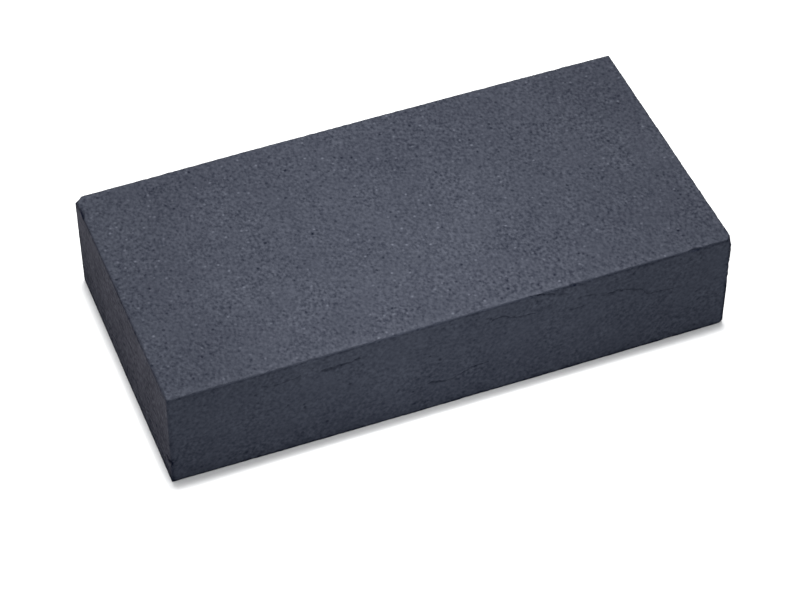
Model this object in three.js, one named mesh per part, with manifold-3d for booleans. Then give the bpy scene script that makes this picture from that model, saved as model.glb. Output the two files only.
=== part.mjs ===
// A compressed charcoal block: one slab of pressed and baked charcoal powder, cut square, with every arris
// a little eased and a few small breaks at the corners and arrises.
//
// Millimetres, +Z up. The origin is the centre of the bottom face. X runs along the length, Y from the
// front long side to the back one.

import * as THREE from "three";
import { RoundedBoxGeometry } from "three/addons/geometries/RoundedBoxGeometry.js";
import { mergeVertices, toCreasedNormals } from "three/addons/utils/BufferGeometryUtils.js";
import Module from "manifold-3d";

// Driving dimensions: the block's nominal size in inches, and the easing of its arrises.
const INCH = 25.4;
const LENGTH = 5.5 * INCH;
const WIDTH = 2.75 * INCH;
const HEIGHT = 1.125 * INCH;
const ARRIS_RADIUS = 0.45;
const ARRIS_SEGMENTS = 3;

// Pressed charcoal breaks in shallow shells. A break is a piece of a faceted ball's surface.
const BREAK_DETAIL = 2;
const CREASE_ANGLE = THREE.MathUtils.degToRad(25);

// The breaks. `side` gives the faces that meet there: -1 or 1 along each axis, for left or right, front or
// back, bottom or top. Where an axis has no face in it, the break is on an arris along that axis, and
// `along` says how far from the middle, as a share of the half length. `outward` is the way the broken
// surface looks, `depth` how far it lies under the sharp corner, and `radius` how round the shell is.
const BREAKS = [
  { side: [-1, 1, 1], outward: [-1, 0.9, 1], depth: 1.25, radius: 7 },
  { side: [-1, -1, 1], outward: [-1, -1, 1], depth: 0.5, radius: 4 },
  { side: [-1, 0, 1], along: 0.84, outward: [-1, 0, 1], depth: 0.55, radius: 5 },
  { side: [1, -1, 1], outward: [1, -0.9, 0.5], depth: 1.1, radius: 8 },
  { side: [1, -1, -1], outward: [1, -0.8, -1], depth: 0.75, radius: 6 },
  { side: [-1, -1, 0], along: -0.5, outward: [-1, -1, 0], depth: 0.45, radius: 1.1 },
  { side: [0, -1, 1], along: 0.86, outward: [0, -1, 0.8], depth: 0.5, radius: 4 },
  { side: [0, -1, 1], along: 0.42, outward: [0, -1, 1], depth: 0.4, radius: 3 },
  { side: [0, 1, -1], along: -0.3, outward: [0, 1, -1], depth: 0.6, radius: 5 },
  { side: [1, 1, 0], along: 0.2, outward: [1, 1, 0], depth: 0.55, radius: 3 },
];

const charcoal = new THREE.MeshStandardMaterial({
  name: "charcoal",
  color: 0x3d4048,
  roughness: 0.85,
  metalness: 0,
});

const wasm = await Module();
wasm.setup();

// A closed geometry as a solid, with the vertices that its triangles share merged.
function solidFrom(geometry) {
  const bare = geometry.clone();
  bare.deleteAttribute("normal");
  bare.deleteAttribute("uv");
  const merged = mergeVertices(bare);
  const mesh = new wasm.Mesh({
    numProp: 3,
    vertProperties: merged.attributes.position.array,
    triVerts: new Uint32Array(merged.index.array),
  });
  return new wasm.Manifold(mesh);
}

// A solid as a geometry, smooth over the eased arrises and creased at every sharper bend.
function geometryFrom(solid) {
  const mesh = solid.getMesh();
  const geometry = new THREE.BufferGeometry();
  geometry.setAttribute("position", new THREE.BufferAttribute(mesh.vertProperties, mesh.numProp));
  geometry.setIndex(new THREE.BufferAttribute(mesh.triVerts, 1));
  return toCreasedNormals(geometry, CREASE_ANGLE);
}

// The slab, standing on the plane z = 0.
function slab() {
  const geometry = new RoundedBoxGeometry(LENGTH, WIDTH, HEIGHT, ARRIS_SEGMENTS, ARRIS_RADIUS);
  geometry.translate(0, 0, HEIGHT / 2);
  return solidFrom(geometry);
}

// The sharp corner, or the point on a sharp arris, that a break takes away.
function placeOf({ side, along }) {
  const [x, y, z] = side.map((face) => face || along);
  return new THREE.Vector3((x * LENGTH) / 2, (y * WIDTH) / 2, ((z + 1) * HEIGHT) / 2);
}

// What a break removes: a ball whose surface passes `depth` inside the sharp corner.
function breakSolid(spec) {
  const geometry = new THREE.IcosahedronGeometry(spec.radius, BREAK_DETAIL);
  const outward = new THREE.Vector3(...spec.outward).normalize();
  const centre = placeOf(spec).addScaledVector(outward, spec.radius - spec.depth);
  geometry.translate(centre.x, centre.y, centre.z);
  return solidFrom(geometry);
}

function charcoalBlock() {
  const solid = BREAKS.reduce((block, spec) => block.subtract(breakSolid(spec)), slab());
  const mesh = new THREE.Mesh(geometryFrom(solid), charcoal);
  mesh.name = "charcoal_block";
  return mesh;
}

const part = new THREE.Group();
part.add(charcoalBlock());

export default part;
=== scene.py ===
# A compressed charcoal block, lying on a pale floor in soft studio light.
#
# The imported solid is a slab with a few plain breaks. Its visible surface is one mesh, made here: a ruled box
# skin, finer where it has detail, then eased, broken, cracked and pitted, in a procedural charcoal material.

import math
import random

import bmesh
import bpy
import numpy as np
from mathutils import Euler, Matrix, Quaternion, Vector, noise

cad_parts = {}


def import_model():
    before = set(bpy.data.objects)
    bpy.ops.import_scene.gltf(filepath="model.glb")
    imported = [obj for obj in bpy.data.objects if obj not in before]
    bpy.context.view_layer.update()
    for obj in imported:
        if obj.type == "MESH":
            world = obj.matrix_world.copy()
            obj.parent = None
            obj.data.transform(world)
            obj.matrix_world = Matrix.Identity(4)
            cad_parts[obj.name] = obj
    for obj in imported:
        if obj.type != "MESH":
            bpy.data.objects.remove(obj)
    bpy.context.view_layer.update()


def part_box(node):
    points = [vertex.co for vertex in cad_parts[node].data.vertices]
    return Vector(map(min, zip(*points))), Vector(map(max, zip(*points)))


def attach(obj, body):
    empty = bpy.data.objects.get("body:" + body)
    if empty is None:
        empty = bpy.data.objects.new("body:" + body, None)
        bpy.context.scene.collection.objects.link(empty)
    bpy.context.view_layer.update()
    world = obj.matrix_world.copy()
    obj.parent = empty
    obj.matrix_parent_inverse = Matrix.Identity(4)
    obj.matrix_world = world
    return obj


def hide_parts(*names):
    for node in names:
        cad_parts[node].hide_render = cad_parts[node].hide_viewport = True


MM = 0.001
NODE = "charcoal_block"

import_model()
LOW, HIGH = (np.array(corner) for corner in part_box(NODE))
SIZE = HIGH - LOW
CENTRE = (LOW + HIGH) / 2

# Every noise is turned by this, so that its own lattice doesn't show on the block's flat sides. Those worked
# out at the mesh's points each start from a place of their own, this far along a common line.
NOISE_TURN = (0.6, 0.8, 0.5)
NOISE_LINE = (1, 2, 3)
NOISE_STARTS = {
    "arris": 5,
    "crumbs": 11,
    "nibbles": 13,
    "wander_x": 21,
    "wander_y": 22,
    "wander_z": 23,
    "crack_width": 31,
    "pit_edge": 41,
    "break": 51,
    "wave": 61,
    "relief": 71,
    "shade_width": 81,
    "shade_edge": 82,
}

# How finely the skin is ruled across the arrises and over the faces, and how often its faces are halved near
# each kind of detail. Each time, only edges longer than a share of the spacing so far are cut.
EDGE_BAND = 1.2 * MM
EDGE_SPACING = 0.2 * MM
FACE_SPACING = 0.95 * MM
ARRIS_HALVINGS = 1
BREAK_HALVINGS = 2
PIT_HALVINGS = 2
CRACK_HALVINGS = 3
LONG_EDGE = 0.6

# Eased arrises: how uneven they are, the crumbs lost along them, and the finer nibbles. The arrises that it
# rests on, and those toward the back, lose only a share of these.
ARRIS_RADIUS = 0.34 * MM
ARRIS_UNEVEN = 0.3
ARRIS_UNEVEN_SIZE = 7.8 * MM
CRUMB_SIZE = 2.6 * MM
CRUMB_DEPTH = 1.0 * MM
CRUMB_LEVEL = 0.22
NIBBLE_SIZE = 0.9 * MM
NIBBLE_DEPTH = 0.38 * MM
RESTING_SHARE = 0.3
BACK_SHARE = 0.45

# The block is a little thinner at its left end, and its faces aren't quite flat.
THINNING = 0.016
WAVE_SIZE = 30 * MM
WAVE_DEPTH = 0.10 * MM
RELIEF_SIZE = 1.7 * MM
RELIEF_DEPTH = 0.04 * MM

# Nor is it quite square: how far some corners are off along X and Y, and how far the back, and the foot of
# the front, bulge at mid-length, in millimetres.
CORNER_SHIFTS = {
    (1, 1, 1): (0.0, 0.17),
    (1, -1, 1): (0.0, -0.15),
    (-1, 1, -1): (0.22, 0.38),
    (-1, -1, -1): (-0.14, 0.31),
    (1, -1, -1): (0.06, -0.16),
}
BACK_BULGE = 0.32
FOOT_BULGE = 0.28

# Breaks at corners and arrises, as in the solid. `side` gives the faces that meet there, `along` how far
# from the middle an arris break is, as a share of half the arris, and `outward` the way the broken surface
# looks. Each is cut by a ball: `depth` is how deep, and `radius` is the ball's, both in millimetres.
BREAKS = [
    {"side": (-1, 1, 1), "outward": (-1, 0.9, 1), "depth": 1.25, "radius": 7},
    {"side": (-1, -1, 1), "outward": (-1, -1, 1), "depth": 0.5, "radius": 4},
    {"side": (-1, 0, 1), "along": 0.84, "outward": (-1, 0, 1), "depth": 0.55, "radius": 5},
    {"side": (1, -1, 1), "outward": (1, -0.9, 0.5), "depth": 1.1, "radius": 8},
    {"side": (1, -1, -1), "outward": (1, -0.8, -1), "depth": 0.75, "radius": 6},
    {"side": (-1, -1, 0), "along": -0.5, "outward": (-1, -1, 0), "depth": 0.45, "radius": 1.1},
    {"side": (0, -1, 1), "along": 0.86, "outward": (0, -1, 0.8), "depth": 0.5, "radius": 4},
    {"side": (0, -1, 1), "along": 0.42, "outward": (0, -1, 1), "depth": 0.4, "radius": 3},
    {"side": (0, 1, -1), "along": -0.3, "outward": (0, 1, -1), "depth": 0.6, "radius": 5},
    {"side": (1, 1, 0), "along": 0.2, "outward": (1, 1, 0), "depth": 0.55, "radius": 3},
]
BREAK_ROUGHNESS = 0.02
BREAK_ROUGH_SIZE = 1.1 * MM

# Each side's axis, and whether it is at the low or the high end of it.
SIDES = {"left": (0, 0), "right": (0, 1), "front": (1, 0), "back": (1, 1), "bottom": (2, 0), "top": (2, 1)}

# Hairline cracks between the pressed layers: the width where each starts and ends, as a share of the usual
# one, then its route in shares of its side, along X or Y and up.
CRACKS = {
    "front": [
        (1.0, 0.8, [(0.629, 1.0), (0.650, 0.985), (0.671, 0.955), (0.697, 0.905)]),
        (0.6, 0.85, [(0.722, 0.83), (0.738, 0.82), (0.753, 0.80)]),
        (0.75, 1.0, [(0.762, 0.77), (0.773, 0.764), (0.793, 0.771), (0.81, 0.754)]),
        (1.0, 0.7, [(0.81, 0.754), (0.834, 0.707), (0.852, 0.626), (0.881, 0.62), (0.907, 0.598)]),
        (0.6, 0.8, [(0.771, 0.75), (0.783, 0.748), (0.793, 0.771)]),
        (0.6, 0.85, [(0.55, 0.823), (0.564, 0.849), (0.573, 0.861), (0.587, 0.852)]),
        (0.85, 0.75, [(0.587, 0.852), (0.596, 0.828), (0.615, 0.793), (0.625, 0.803), (0.64, 0.793)]),
        (0.8, 0.6, [(0.707, 0.707), (0.735, 0.708)]),
        (0.6, 0.5, [(0.424, 0.764), (0.438, 0.748), (0.45, 0.741), (0.464, 0.756), (0.477, 0.767)]),
        (1.2, 1.0, [(0.451, 0.316), (0.478, 0.293), (0.494, 0.285)]),
        (0.9, 0.8, [(0.494, 0.285), (0.508, 0.318), (0.527, 0.355), (0.559, 0.372)]),
        (1.3, 1.4, [(0.264, 0.828), (0.278, 0.83), (0.295, 0.831), (0.313, 0.838), (0.33, 0.857)]),
        (0.8, 0.6, [(0.161, 0.85), (0.174, 0.816), (0.186, 0.822), (0.2, 0.83), (0.226, 0.844)]),
    ],
    "back": [
        (0.5, 1.0, [(0.12, 0.55), (0.17, 0.58), (0.22, 0.56), (0.27, 0.61), (0.31, 0.60)]),
        (0.9, 0.5, [(0.52, 0.30), (0.57, 0.28), (0.60, 0.31), (0.66, 0.30)]),
        (0.6, 0.8, [(0.71, 0.76), (0.76, 0.79), (0.80, 0.775)]),
    ],
    "left": [
        (2.4, 1.8, [(-0.005, 0.235), (0.018, 0.24), (0.036, 0.235)]),
        (0.5, 0.8, [(0.30, 0.62), (0.38, 0.65), (0.45, 0.63), (0.55, 0.67)]),
        (0.7, 0.5, [(0.62, 0.35), (0.70, 0.33), (0.78, 0.36)]),
    ],
    "right": [
        (0.9, 0.5, [(0.03, 0.56), (0.09, 0.57), (0.15, 0.54), (0.22, 0.55)]),
        (0.5, 0.8, [(0.48, 0.28), (0.56, 0.30), (0.63, 0.27)]),
        (0.6, 0.6, [(0.70, 0.72), (0.77, 0.75), (0.83, 0.74)]),
    ],
}

# A crack's usual half width, and the slope of its walls down to its middle. Its width varies along it, and
# it wanders a little off its route.
CRACK_HALF_WIDTH = 0.34 * MM
CRACK_STEEPNESS = 0.65
CRACK_UNEVEN = 0.5
CRACK_UNEVEN_SIZE = 2.4 * MM
CRACK_WANDER = 0.42 * MM
CRACK_WANDER_SIZE = 1.2 * MM

# Pits where grains have dropped out: how many by chance on each side, with their least and greatest radius,
# then where others stand out, in shares of the side: one by one on the front, in small groups on the top.
PIT_SEED = 7
CHANCE_PITS = {
    "left": (16, 0.22 * MM, 0.45 * MM),
    "right": (16, 0.22 * MM, 0.45 * MM),
    "front": (18, 0.20 * MM, 0.36 * MM),
    "back": (26, 0.22 * MM, 0.45 * MM),
    "bottom": (80, 0.25 * MM, 0.5 * MM),
    "top": (90, 0.22 * MM, 0.5 * MM),
}
PIT_GROUPS = {
    "front": [(0.204, 0.54), (0.232, 0.494), (0.233, 0.456), (0.15, 0.77), (0.228, 0.157), (0.312, 0.581),
              (0.404, 0.366), (0.438, 0.28), (0.398, 0.33), (0.471, 0.559), (0.453, 0.634)],
    "top": [(0.12, 0.32), (0.106, 0.185), (0.053, 0.51), (0.113, 0.60), (0.281, 0.27), (0.056, 0.09),
            (0.922, 0.74), (0.568, 0.53), (0.686, 0.524)],
}
GROUP_PITS = {"front": 1, "top": 4}
GROUP_SPREAD = 1.0 * MM
GROUP_PIT_RADIUS = {"front": (0.36 * MM, 0.5 * MM), "top": (0.26 * MM, 0.42 * MM)}

# A pit's depth as a share of its radius, how ragged its rim is, and how near an arris chance may put one.
PIT_DEPTH = 0.6
PIT_RAGGED = 0.35
PIT_RAGGED_SIZE = 0.7 * MM
PIT_MARGIN = 2 * MM

# Painted shade in the cracks and pits: a crack or pit this deep is as dark as it gets.
CAVITY_SHADE_DEPTH = 0.2 * MM

# The underside is where the outward direction points down more than this. Over an arris, the look of a sawn
# face or an end fades with the outward direction, by this power.
LOOKS_DOWN = -0.5
LOOK_POWER = 4

# Linear colours of the sawn top and bottom, of the pressed long sides and of the ends.
SAWN_COLOUR = (0.0324, 0.0354, 0.0466)
PRESSED_COLOUR = (0.0291, 0.0328, 0.0450)
END_COLOUR = (0.0372, 0.0372, 0.0481)
SPECULAR = 0.02
ROUGHNESS = 0.9

# How much each pattern lightens or darkens the charcoal: on the pressed sides, on the sawn faces and on the
# ends. Then how far the patterns that are felt stand out, in millimetres.
SHADES = {
    "grain": (1.3, 1.78, 2.05),
    "blotch": (0.35, 0.35, 0.35),
    "patches": (0.25, 0.12, 0.8),
    "layers": (0.15, 0.0, 0.2),
    # Painted shade in small hollows: dark spots that the bump also dents.
    "pits": (-0.34, -0.56, -0.45),
    # Painted glints: pale specks for light caught by the grain's facets.
    "glint_specks": (0.15, 2.1, 0.3),
    # Painted shade in the cracks and pits, by their depth.
    "cavity_painted_shade": (-0.35, -0.2, -0.35),
    # Painted shade: a dark line along the arrises.
    "arris": (-0.55, -0.36, -0.6),
    "pale_band": (0.0, 0.2, 0.25),
    "broken": (-0.2, -0.3, -0.3),
    # Painted shade, darker toward the foot.
    "painted_foot_shade": (-0.18, 0.0, -0.46),
}
HEIGHTS = {"grain": (0.06, 0.15, 0.08), "pits": (-0.04, -0.12, -0.06)}

# Lighter and darker places differ a little in tint, and nothing is darker than this share of its own colour.
SHADE_TINT = (1.04, 1.0, 0.89)
DARKEST = 0.1

# The grain: its features to a millimetre on each kind of face, how unevenly strong it is, and how it is
# drawn out.
GRAIN_SCALE = (1.15, 1.4, 1.2)
GRAIN_UNEVEN = 1.6
GRAIN_DRAWN_OUT = (1.0, 0.78, 1.0)

# The other noises: their features to a millimetre, their finer layers, and how strong those are. The pressed
# layers are noise too, drawn out flat.
NOISES = {
    "grain_strength": (0.11, 1.0, 0.5),
    "blotch": (0.045, 2.0, 0.5),
    "patches": (0.17, 2.0, 0.6),
    "layers": (0.9, 3.0, 0.6),
}
LAYERS_DRAWN_OUT = (0.2, 0.2, 1.0)

# The spots: their cells to a millimetre, and their radius and soft rim as shares of a cell. A higher power
# leaves fewer strong ones. The pale specks are painted glints of the grain's facets, and they are also a
# little smoother than the rest.
SPOTS = {"pits": (0.75, 0.36, 0.2), "glint_specks": (0.55, 0.24, 0.24)}
SPOT_POWER = 2.0
SPECK_GLINT = 0.3

# How high the painted shade at the foot reaches on each kind of face, in millimetres.
PAINTED_FOOT_SHADE_HEIGHT = (16.0, 16.0, 24.0)

# The painted shade along each arris, as a dark line: its width on the upright faces and on the sawn ones, how
# uneven that is on a broad and on a fine scale, and how firm the line is inside.
ARRIS_SHADE_WIDTH = (0.95 * MM, 0.35 * MM)
ARRIS_SHADE_UNEVEN = 0.6
ARRIS_SHADE_UNEVEN_SIZE = 5 * MM
ARRIS_SHADE_RAGGED = 0.5
ARRIS_SHADE_RAGGED_SIZE = 1.3 * MM
ARRIS_SHADE_FIRM = 1.7

# The painted line's least strength, and what raises it: toward the right, at the right arrises, toward the
# back on the ends, and at the foot, where it is stronger still on the ends.
ARRIS_SHADE_LEAST = 0.4
RIGHT_SHADE = 0.55
RIGHT_ARRIS_SHADE = 1.2
RIGHT_ARRIS_POWER = 12
BACK_ARRIS_SHADE = 1.3
FOOT_SHADE_FALL = 6
END_FOOT_SHADE = 0.4

# On the ends the line also widens toward the foot and toward the back.
END_WIDENING = 0.6
FOOT_WIDENING_POWER = 6
BACK_WIDENING_POWER = 12

# The paler band beside the front arrises, on the top and the ends. On the ends it comes in with height.
PALE_BAND_WIDTH = 3 * MM
PALE_BAND_RISE = 2.5

# Which sockets a Mix node's colours use.
MIX_FIRST = 6
MIX_SECOND = 7
MIX_RESULT = 2

# The studio: an even pale surround, a distant round key almost overhead, and two soft pools of light, one
# on the top and one on the front. Lengths are in metres, powers in watts, and the pools' places in shares of
# half the block, from its middle.
FLOOR_RADIUS = 3.0
FLOOR_SIDES = 96
FLOOR_COLOUR = (0.70, 0.70, 0.70, 1)
WORLD_COLOUR = (0.97, 0.985, 1.0, 1)
WORLD_STRENGTH = 1.0
KEY_DISTANCE = 4.0
KEY_TILT_BACK = math.radians(4.15)
KEY_TILT_RIGHT = math.radians(0.8)
KEY_SIZE = 0.5
KEY_POWER = 180.0
TOP_POOL = {"distance": 1.2, "size": 0.06, "radius": 0.078, "power": 33.0}
TOP_POOL_PLACE = (-0.04, -0.42)
FRONT_POOL = {"distance": 1.6, "size": 0.04, "radius": 0.06, "power": 30.0}
FRONT_POOL_PLACE = -0.1
FRONT_ELEVATION = math.radians(20)

# The camera: it looks at a point close to the block's middle, from the front left and above.
LENS = 125.7
SENSOR = 36
AIM = CENTRE + np.array((-2.73, -6.43, -6.7)) * MM
CAMERA_DISTANCE = 0.6706
CAMERA_AZIMUTH = math.radians(-21.62)
CAMERA_ELEVATION = math.radians(46.18)
CAMERA_ROLL = math.radians(0.165)


# ---- The ruled skin --------------------------------------------------------------------------------------

def stations(low, high):
    """Where the skin is ruled along one axis: closely near both ends, evenly between."""
    near = np.arange(0, EDGE_BAND - EDGE_SPACING / 2, EDGE_SPACING)
    gaps = round((high - low - 2 * EDGE_BAND) / FACE_SPACING)
    middle = np.linspace(low + EDGE_BAND, high - EDGE_BAND, gaps + 1)
    return np.concatenate([low + near, middle, (high - near)[::-1]])


def box_skin():
    """The points and outward quads of the block's box, ruled into a lattice."""
    lines = [stations(LOW[axis], HIGH[axis]) for axis in range(3)]
    lattice = np.stack(np.meshgrid(*lines, indexing="ij"), -1)
    on_skin = np.ones(lattice.shape[:3], bool)
    on_skin[1:-1, 1:-1, 1:-1] = False
    index = np.full(on_skin.shape, -1)
    index[on_skin] = np.arange(on_skin.sum())
    quads = []
    for axis in range(3):
        for end in (0, -1):
            sheet = np.take(index, end, axis)
            corners = [sheet[:-1, :-1], sheet[1:, :-1], sheet[1:, 1:], sheet[:-1, 1:]]
            rings = np.stack(corners, -1).reshape(-1, 4)
            faces_in = (end == 0) != (axis == 1)
            quads.append(rings[:, ::-1] if faces_in else rings)
    return lattice[on_skin], np.concatenate(quads)


# ---- Where the details are -------------------------------------------------------------------------------

def break_balls():
    """Each break as the centre and radius of a ball that takes material away."""
    balls = []
    for spec in BREAKS:
        sides = np.array([side or spec.get("along") for side in spec["side"]])
        corner = CENTRE + sides * SIZE / 2
        outward = np.array(spec["outward"]) / np.linalg.norm(spec["outward"])
        radius = spec["radius"] * MM
        balls.append((corner + outward * (radius - spec["depth"] * MM), radius))
    return balls


def on_side(side, across, up):
    """A point on a side, from its shares across and up, or along X and along Y on the top and bottom."""
    axis, end = SIDES[side]
    shares = np.insert((across, up), axis, end)
    return LOW + SIZE * shares


def crack_pieces():
    """Every straight piece of every crack: its two ends, and its half width at each."""
    pieces = []
    for side, cracks in CRACKS.items():
        for first, last, route in cracks:
            points = [on_side(side, *place) for place in route]
            widths = CRACK_HALF_WIDTH * np.linspace(first, last, len(route))
            pieces += list(zip(points, points[1:], widths, widths[1:]))
    return pieces


def scatter_pits():
    """Centres and radii of the pits: by chance over each side, then where others stand out."""
    chance = random.Random(PIT_SEED)
    pits = []
    for side, (count, least, greatest) in CHANCE_PITS.items():
        axis, end = SIDES[side]
        for _ in range(count):
            shares = np.array([chance.random() for _ in range(3)])
            centre = LOW + PIT_MARGIN + shares * (SIZE - 2 * PIT_MARGIN)
            centre[axis] = (LOW, HIGH)[end][axis]
            pits.append((centre, least + (greatest - least) * chance.random() ** 2))
    for side, places in PIT_GROUPS.items():
        axis = SIDES[side][0]
        for place in places:
            for number in range(GROUP_PITS[side]):
                shift = np.array([chance.gauss(0, GROUP_SPREAD) for _ in range(3)]) * (number > 0)
                shift[axis] = 0
                pits.append((on_side(side, *place) + shift, chance.uniform(*GROUP_PIT_RADIUS[side])))
    return pits


BALLS = break_balls()
CRACK_PIECES = crack_pieces()
PITS = scatter_pits()


def away_from_piece(points, start, end):
    """How far points are from a straight piece, and where along it each is nearest."""
    run = end - start
    share = np.clip((points - start) @ run / (run @ run), 0, 1)
    return np.linalg.norm(points - start - share[:, None] * run, axis=1), share


def arris_gap(points):
    """How far each point of the skin is from the nearest arris."""
    to_faces = np.minimum(points - LOW, HIGH - points)
    return np.sort(to_faces, axis=1)[:, 1]


def break_gap(points):
    """How far each point is outside the nearest break."""
    return np.min([np.linalg.norm(points - centre, axis=1) - radius for centre, radius in BALLS], axis=0)


def crack_gap(points):
    """How far each point is outside the nearest crack."""
    gaps = [away_from_piece(points, start, end)[0] - max(widths) for start, end, *widths in CRACK_PIECES]
    return np.min(gaps, axis=0)


def pit_gap(points):
    """How far each point is outside the nearest pit."""
    gap = np.full(len(points), np.inf)
    for centre, radius in PITS:
        gap = np.minimum(gap, np.linalg.norm(points - centre, axis=1) - radius)
    return gap


HALVINGS = [
    (arris_gap, ARRIS_HALVINGS),
    (break_gap, BREAK_HALVINGS),
    (pit_gap, PIT_HALVINGS),
    (crack_gap, CRACK_HALVINGS),
]


def refine(bm):
    """Halves the skin's faces near details, as often as each kind needs."""
    for level in range(max(times for _, times in HALVINGS)):
        reach = FACE_SPACING / 2 ** level
        centres = np.array([face.calc_center_median() for face in bm.faces])
        chosen = np.zeros(len(centres), bool)
        for gap, times in HALVINGS:
            if level < times:
                chosen |= gap(centres) < reach
        edges = {edge for face, near in zip(bm.faces, chosen) if near for edge in face.edges}
        long_edges = [edge for edge in edges if edge.calc_length() > LONG_EDGE * reach]
        long_edges.sort(key=lambda edge: edge.index)
        bmesh.ops.subdivide_edges(bm, edges=long_edges, cuts=1, use_grid_fill=True)
        bm.edges.index_update()


# ---- Wear and painted shade ------------------------------------------------------------------------------

def chance_field(points, size, start):
    """One of the named noises over points, from about -1 to 1, with features of about `size`."""
    turned = points / size @ np.array(Euler(NOISE_TURN).to_matrix())
    turned += np.array(NOISE_LINE) * NOISE_STARTS[start]
    return np.array([noise.noise(Vector(point)) for point in turned])


def eased(points):
    """The skin with its arrises eased, and each point's outward direction."""
    crumbs = CRUMB_DEPTH * np.clip(chance_field(points, CRUMB_SIZE, "crumbs") - CRUMB_LEVEL, 0, None)
    nibbles = NIBBLE_DEPTH * chance_field(points, NIBBLE_SIZE, "nibbles")
    _, back, up = ((points - LOW) / SIZE).T
    worn_share = (RESTING_SHARE + (1 - RESTING_SHARE) * up) * (1 - (1 - BACK_SHARE) * back)
    radius = ARRIS_RADIUS * (1 + ARRIS_UNEVEN * chance_field(points, ARRIS_UNEVEN_SIZE, "arris"))
    radius = (radius + worn_share * (crumbs + nibbles))[:, None]
    inner = np.clip(points, LOW + radius, HIGH - radius)
    outward = (points - inner) / np.linalg.norm(points - inner, axis=1)[:, None]
    return inner + outward * radius, outward


def crack_depth(points, outward):
    """How deep the cracks are at each point."""
    starts = ("wander_x", "wander_y", "wander_z")
    wander = np.stack([chance_field(points, CRACK_WANDER_SIZE, start) for start in starts], 1)
    wander -= outward * np.sum(wander * outward, axis=1)[:, None]
    wandered = points + wander * CRACK_WANDER
    uneven = 1 + CRACK_UNEVEN * chance_field(points, CRACK_UNEVEN_SIZE, "crack_width")
    depth = np.zeros(len(points))
    for start, end, first, last in CRACK_PIECES:
        away, share = away_from_piece(wandered, start, end)
        half_width = (first + (last - first) * share) * uneven
        depth = np.maximum(depth, (half_width - away) * CRACK_STEEPNESS)
    return depth


def pit_depth(points):
    """How deep the pits are at each point."""
    ragged = 1 + PIT_RAGGED * chance_field(points, PIT_RAGGED_SIZE, "pit_edge")
    depth = np.zeros(len(points))
    for centre, radius in PITS:
        share = np.linalg.norm(points - centre, axis=1) / radius * ragged
        depth = np.maximum(depth, radius * PIT_DEPTH * (1 - share ** 2))
    return depth


def broken(points):
    """The points pushed back to the breaks' shells, and which of them moved."""
    moved = np.zeros(len(points))
    points = points.copy()
    for centre, radius in BALLS:
        rough = radius * (1 + BREAK_ROUGHNESS * chance_field(points, BREAK_ROUGH_SIZE, "break"))
        away = points - centre
        distance = np.linalg.norm(away, axis=1)
        inside = distance < rough
        points[inside] = centre + away[inside] * (rough / distance)[inside, None]
        moved[inside] = 1
    return points, moved


def out_of_square(points):
    """How far each point is moved by the block not being quite square."""
    shares = (points - LOW) / SIZE
    shift = np.zeros(points.shape)
    for corner, (along_x, along_y) in CORNER_SHIFTS.items():
        pull = np.prod(np.where(np.array(corner) > 0, shares, 1 - shares), axis=1)
        shift += pull[:, None] * (along_x, along_y, 0)
    across, back, up = shares.T
    at_mid_length = 4 * across * (1 - across)
    shift[:, 1] += at_mid_length * (BACK_BULGE * back - FOOT_BULGE * (1 - back) * (1 - up))
    return shift * MM


def shade_marks(points, outward):
    """The painted shade along the arrises, the paler band by the front arrises, and each point's kind of face.
    """
    sawn = np.abs(outward[:, 2]) ** LOOK_POWER
    end = np.abs(outward[:, 0]) ** LOOK_POWER
    across, back, up = ((points - LOW) / SIZE).T
    pale_band = np.clip(1 - (points[:, 1] - LOW[1]) / PALE_BAND_WIDTH, 0, 1) * np.clip(PALE_BAND_RISE * up, 0, 1)
    upright_width, sawn_width = ARRIS_SHADE_WIDTH
    width = upright_width + (sawn_width - upright_width) * sawn
    uneven = ARRIS_SHADE_UNEVEN * chance_field(points, ARRIS_SHADE_UNEVEN_SIZE, "shade_width")
    ragged = ARRIS_SHADE_RAGGED * chance_field(points, ARRIS_SHADE_RAGGED_SIZE, "shade_edge")
    widening = np.maximum((1 - up) ** FOOT_WIDENING_POWER, back ** BACK_WIDENING_POWER)
    width *= (1 + uneven + ragged) * (1 + END_WIDENING * end * widening)
    foot = (1 + END_FOOT_SHADE * end) * (1 - FOOT_SHADE_FALL * up)
    right = np.maximum(RIGHT_SHADE * across, RIGHT_ARRIS_SHADE * across ** RIGHT_ARRIS_POWER)
    stronger = np.maximum.reduce([right, foot, BACK_ARRIS_SHADE * end * back])
    strength = ARRIS_SHADE_LEAST + (1 - ARRIS_SHADE_LEAST) * stronger
    # Painted shade along the arrises, as a dark line.
    painted_shade_line = strength * np.clip(ARRIS_SHADE_FIRM * (1 - arris_gap(points) / width), 0, 1)
    return {"arris": painted_shade_line * (1 - end * pale_band), "pale_band": pale_band, "sawn": sawn, "end": end}


def worn(points):
    """Where the skin's points end up, with what the material needs to know at each."""
    surface, outward = eased(points)
    depth = np.maximum(crack_depth(points, outward), pit_depth(points))
    wave = WAVE_DEPTH / 2 * chance_field(points, WAVE_SIZE, "wave")
    relief = RELIEF_DEPTH / 2 * chance_field(points, RELIEF_SIZE, "relief")
    underside = outward[:, 2] < LOOKS_DOWN
    level = np.where(underside, np.minimum(relief, 0), wave + relief)
    surface += outward * (level - depth)[:, None]
    surface, fresh = broken(surface)
    thinner = THINNING * (HIGH[0] - surface[:, 0]) / SIZE[0]
    surface[:, 2] = LOW[2] + (surface[:, 2] - LOW[2]) * (1 - thinner)
    surface += out_of_square(points)
    # Painted shade in the cracks and pits, darker the deeper they are.
    cavity_painted_shade = np.clip(depth / CAVITY_SHADE_DEPTH, 0, 1)
    return surface, {"cavity_painted_shade": cavity_painted_shade, "broken": fresh, **shade_marks(points, outward)}


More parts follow.
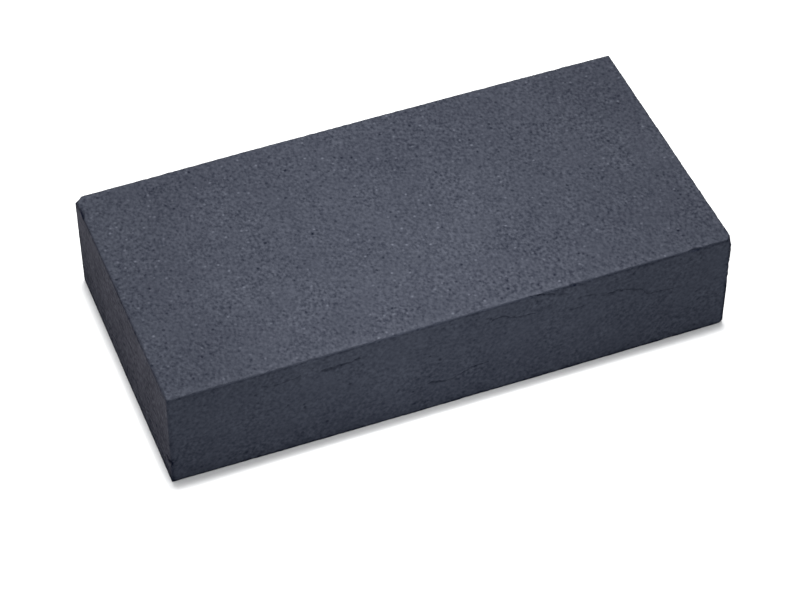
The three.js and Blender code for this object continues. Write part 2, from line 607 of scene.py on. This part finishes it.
def block_surface():
    """The visible block as one mesh."""
    points, quads = box_skin()
    mesh = bpy.data.meshes.new("pressed_block")
    mesh.from_pydata(points.tolist(), [], quads.tolist())
    bm = bmesh.new()
    bm.from_mesh(mesh)
    refine(bm)
    bm.to_mesh(mesh)
    bm.free()
    flat = np.empty(len(mesh.vertices) * 3)
    mesh.vertices.foreach_get("co", flat)
    surface, marks = worn(flat.reshape(-1, 3))
    mesh.vertices.foreach_set("co", surface.ravel())
    for name, values in marks.items():
        attribute = mesh.attributes.new(name, "FLOAT", "POINT")
        attribute.data.foreach_set("value", values.astype(np.float32))
    mesh.shade_smooth()
    mesh.update()
    block = bpy.data.objects.new("pressed_block", mesh)
    bpy.context.scene.collection.objects.link(block)
    return block


# ---- Material --------------------------------------------------------------------------------------------

class Graph:
    """Short ways to add nodes to a material and join them."""

    def __init__(self, material):
        material.use_nodes = True
        self.tree = material.node_tree
        self.shader = self.tree.nodes["Principled BSDF"]

    def add(self, kind, inputs=(), **settings):
        """A node with its settings, its inputs joined to sockets or set to values."""
        node = self.tree.nodes.new(kind)
        for name, value in settings.items():
            setattr(node, name, value)
        for name, value in dict(inputs).items():
            self.feed(node.inputs[name], value)
        return node

    def feed(self, socket, value):
        """Joins a socket to another, or sets it to a value."""
        if isinstance(value, bpy.types.NodeSocket):
            self.tree.links.new(value, socket)
        else:
            socket.default_value = value

    def math(self, operation, a, b=0.0, clamp=False):
        """The result of one sum."""
        return self.add("ShaderNodeMath", {0: a, 1: b}, operation=operation, use_clamp=clamp).outputs[0]

    def vector(self, operation, inputs):
        """The result of one sum on vectors or colours."""
        return self.add("ShaderNodeVectorMath", inputs, operation=operation).outputs[0]

    def turned(self, place):
        """A place turned off the block's own axes, ready for a noise."""
        inputs = {"Vector": place, "Rotation": NOISE_TURN}
        return self.add("ShaderNodeVectorRotate", inputs, rotation_type="EULER_XYZ").outputs[0]

    def mark(self, name):
        """One of the numbers kept at the mesh's points."""
        return self.add("ShaderNodeAttribute", attribute_name=name).outputs["Fac"]

    def noise(self, place, scale, detail=2.0, roughness=0.5):
        """Noise from about -0.5 to 0.5, with features of about 1/scale millimetres."""
        inputs = {"Vector": place, "Scale": scale, "Detail": detail, "Roughness": roughness}
        value = self.add("ShaderNodeTexNoise", inputs).outputs["Fac"]
        return self.math("SUBTRACT", value, 0.5)

    def by_face(self, amounts):
        """A number with one value on the pressed sides, one on the sawn faces and one on the ends."""
        pressed, sawn, end = amounts
        on_sawn = self.math("MULTIPLY", self.mark("sawn"), sawn - pressed)
        on_end = self.math("MULTIPLY", self.mark("end"), end - pressed)
        return self.total([pressed, on_sawn, on_end])

    def spots(self, place, scale, radius, softness):
        """Round spots, at most one to a cell of 1/scale millimetres: up to 1 inside them, 0 outside."""
        cells = self.add("ShaderNodeTexVoronoi", {"Vector": place, "Scale": scale})
        inside = self.math("SUBTRACT", radius, cells.outputs["Distance"])
        shape = self.math("DIVIDE", inside, softness, clamp=True)
        return self.math("MULTIPLY", shape, self.math("POWER", cells.outputs["Color"], SPOT_POWER))

    def mix(self, share, first, second):
        """The first colour turning into the second as share goes from 0 to 1."""
        node = self.add("ShaderNodeMix", data_type="RGBA")
        self.feed(node.inputs["Factor"], share)
        self.feed(node.inputs[MIX_FIRST], first)
        self.feed(node.inputs[MIX_SECOND], second)
        return node.outputs[MIX_RESULT]

    def total(self, numbers):
        """Some numbers, all added up."""
        first, *others = numbers
        for other in others:
            first = self.math("ADD", first, other)
        return first

    def weighed(self, patterns, weights):
        """The total of some patterns, each by its own amount on each face."""
        return self.total([
            self.math("MULTIPLY", patterns[name], self.by_face(amounts)) for name, amounts in weights.items()
        ])


def charcoal():
    """Dry pressed charcoal: grainy and pitted where it is sawn, closer where it is pressed."""
    material = bpy.data.materials.new("charcoal")
    graph = Graph(material)
    metres = graph.add("ShaderNodeTexCoord").outputs["Object"]
    straight = graph.vector("SCALE", {0: metres, "Scale": 1 / MM})
    place = graph.turned(straight)
    drawn_out = graph.turned(graph.vector("MULTIPLY", {0: straight, 1: GRAIN_DRAWN_OUT}))
    layered = graph.turned(graph.vector("MULTIPLY", {0: straight, 1: LAYERS_DRAWN_OUT}))
    height = graph.add("ShaderNodeSeparateXYZ", {0: straight}).outputs["Z"]
    height_share = graph.math("DIVIDE", height, graph.by_face(PAINTED_FOOT_SHADE_HEIGHT))

    strength = graph.math("MULTIPLY", graph.noise(place, *NOISES["grain_strength"]), GRAIN_UNEVEN)
    grain = graph.noise(drawn_out, graph.by_face(GRAIN_SCALE))
    patterns = {
        "grain": graph.math("MULTIPLY", grain, graph.math("ADD", 1.0, strength)),
        "blotch": graph.noise(place, *NOISES["blotch"]),
        "patches": graph.noise(place, *NOISES["patches"]),
        "layers": graph.noise(layered, *NOISES["layers"]),
        # Painted shade in small hollows, as dark spots.
        "pits": graph.spots(place, *SPOTS["pits"]),
        # Painted glints, as pale specks.
        "glint_specks": graph.spots(place, *SPOTS["glint_specks"]),
        # Painted shade, darker toward the foot.
        "painted_foot_shade": graph.math("SUBTRACT", 1.0, height_share, clamp=True),
    }
    patterns.update((name, graph.mark(name)) for name in ("cavity_painted_shade", "arris", "pale_band", "broken"))

    change = graph.math("MAXIMUM", graph.weighed(patterns, SHADES), DARKEST - 1)
    tinted = graph.vector("SCALE", {0: SHADE_TINT, "Scale": change})
    tone = graph.vector("ADD", {0: (1, 1, 1), 1: tinted})
    sides = graph.mix(graph.mark("end"), (*PRESSED_COLOUR, 1), (*END_COLOUR, 1))
    own = graph.mix(graph.mark("sawn"), sides, (*SAWN_COLOUR, 1))
    colour = graph.vector("MULTIPLY", {0: own, 1: tone})
    relief = graph.weighed(patterns, HEIGHTS)
    bump = graph.add("ShaderNodeBump", {"Height": relief, "Distance": MM, "Strength": 1.0})
    glint = graph.math("MULTIPLY", patterns["glint_specks"], SPECK_GLINT)

    shader = graph.shader
    graph.feed(shader.inputs["Base Color"], colour)
    graph.feed(shader.inputs["Roughness"], graph.math("SUBTRACT", ROUGHNESS, glint))
    graph.feed(shader.inputs["Normal"], bump.outputs["Normal"])
    shader.inputs["Specular IOR Level"].default_value = SPECULAR
    return material


# ---- Studio ----------------------------------------------------------------------------------------------

def floor():
    """A pale round floor, wide enough to fill every view."""
    mesh = bpy.data.meshes.new("floor")
    angles = [2 * math.pi * side / FLOOR_SIDES for side in range(FLOOR_SIDES)]
    ring = [(FLOOR_RADIUS * math.cos(angle), FLOOR_RADIUS * math.sin(angle), LOW[2]) for angle in angles]
    mesh.from_pydata(ring, [], [list(range(FLOOR_SIDES))])
    material = bpy.data.materials.new("pale_floor")
    material.use_nodes = True
    shader = material.node_tree.nodes["Principled BSDF"]
    shader.inputs["Base Color"].default_value = FLOOR_COLOUR
    shader.inputs["Roughness"].default_value = 1.0
    shader.inputs["Specular IOR Level"].default_value = 0.0
    mesh.materials.append(material)
    ground = bpy.data.objects.new("floor", mesh)
    bpy.context.scene.collection.objects.link(ground)


def world():
    """The even pale surround."""
    sky = bpy.data.worlds.new("studio")
    sky.use_nodes = True
    background = sky.node_tree.nodes["Background"]
    background.inputs["Color"].default_value = WORLD_COLOUR
    background.inputs["Strength"].default_value = WORLD_STRENGTH
    bpy.context.scene.world = sky


def light(data, direction, target, distance, power):
    """Puts a light off in a direction from its target, facing the target, unseen by the camera."""
    data.energy = power
    unit = Vector(direction).normalized()
    lamp = bpy.data.objects.new(data.name, data)
    lamp.location = Vector(target) + unit * distance
    lamp.rotation_euler = unit.to_track_quat("Z", "Y").to_euler()
    lamp.visible_camera = False
    bpy.context.scene.collection.objects.link(lamp)


def pool(name, direction, target, distance, size, radius, power):
    """A soft-edged spot that lights a pool of this radius round its target."""
    data = bpy.data.lights.new(name, "SPOT")
    data.spot_size = 2 * math.atan(radius / distance)
    data.spot_blend = 1.0
    data.shadow_soft_size = size / 2
    light(data, direction, target, distance, power)


def lights():
    """The key, and the two pools."""
    overhead = (math.tan(KEY_TILT_RIGHT), math.tan(KEY_TILT_BACK), 1)
    key = bpy.data.lights.new("key", "AREA")
    key.shape = "DISK"
    key.size = KEY_SIZE
    light(key, overhead, CENTRE, KEY_DISTANCE, KEY_POWER)
    top_middle = CENTRE + SIZE / 2 * np.array((*TOP_POOL_PLACE, 1))
    pool("top_pool", overhead, top_middle, **TOP_POOL)
    low = (0, -math.cos(FRONT_ELEVATION), math.sin(FRONT_ELEVATION))
    front_top = CENTRE + SIZE / 2 * np.array((FRONT_POOL_PLACE, -1, 1))
    pool("front_pool", low, front_top, **FRONT_POOL)


def camera():
    """The one camera, which the scene uses."""
    data = bpy.data.cameras.new("camera")
    data.lens = LENS
    data.sensor_width = SENSOR
    eye = bpy.data.objects.new("camera", data)
    flat = math.cos(CAMERA_ELEVATION)
    away = Vector((
        math.sin(CAMERA_AZIMUTH) * flat,
        -math.cos(CAMERA_AZIMUTH) * flat,
        math.sin(CAMERA_ELEVATION),
    ))
    eye.location = Vector(AIM) + away * CAMERA_DISTANCE
    turn = away.to_track_quat("Z", "Y") @ Quaternion((0, 0, 1), CAMERA_ROLL)
    eye.rotation_euler = turn.to_euler()
    bpy.context.scene.collection.objects.link(eye)
    bpy.context.scene.camera = eye


camera()
world()
lights()
floor()

block = block_surface()
block.data.materials.append(charcoal())
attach(block, "root")
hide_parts(NODE)

bpy.context.scene.view_settings.view_transform = "Standard"
